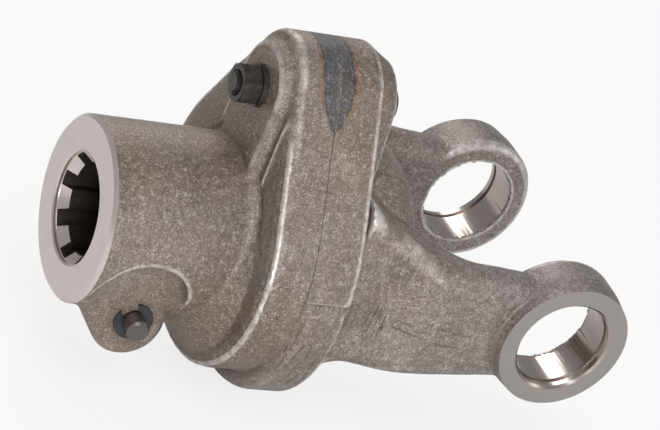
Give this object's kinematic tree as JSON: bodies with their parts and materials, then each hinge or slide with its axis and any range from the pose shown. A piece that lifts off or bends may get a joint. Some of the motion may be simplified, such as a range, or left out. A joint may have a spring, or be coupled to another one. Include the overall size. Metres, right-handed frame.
{
  "type": "shear-bolt yoke",
  "caption": "Forged splined hub and forged two-eared yoke on one axis, locked by a shear bolt through their lugs, with a sprung push pin across the socket.",
  "frame": {"origin": "centre of the socket's mouth, on the shaft axis", "axes": "+X along the shaft axis from the socket to the ears, Y along the cross bores, +Z towards the shear bolt"},
  "size_m": [0.1963, 0.109, 0.1345],
  "materials": {
    "forged_steel": "shot-blasted forging",
    "bright_steel": "turned steel",
    "black_steel": "black oxide",
    "seal_rubber": "matt"
  },
  "bodies": {
    "root": {"splined_hub": "forged_steel", "yoke": "forged_steel", "retaining_balls": "bright_steel", "spigot_seal": "seal_rubber", "ball_filler_plug": "black_steel", "grease_nipple": "bright_steel", "shear_bolt": "black_steel", "shear_bolt_nut": "black_steel", "lock_washer": "black_steel", "push_pin_spring": "bright_steel"},
    "pin": {"push_pin": "bright_steel", "push_pin_clip": "black_steel"}
  },
  "joints": [
    {"name": "pin_press", "type": "slide", "parent": "root", "child": "pin", "axis": [0, -1, 0], "range_m": [0, 0.01], "stiffness_N_per_m": 1500, "springref_m": -0.004, "deforming": ["push_pin_spring"]}
  ]
}
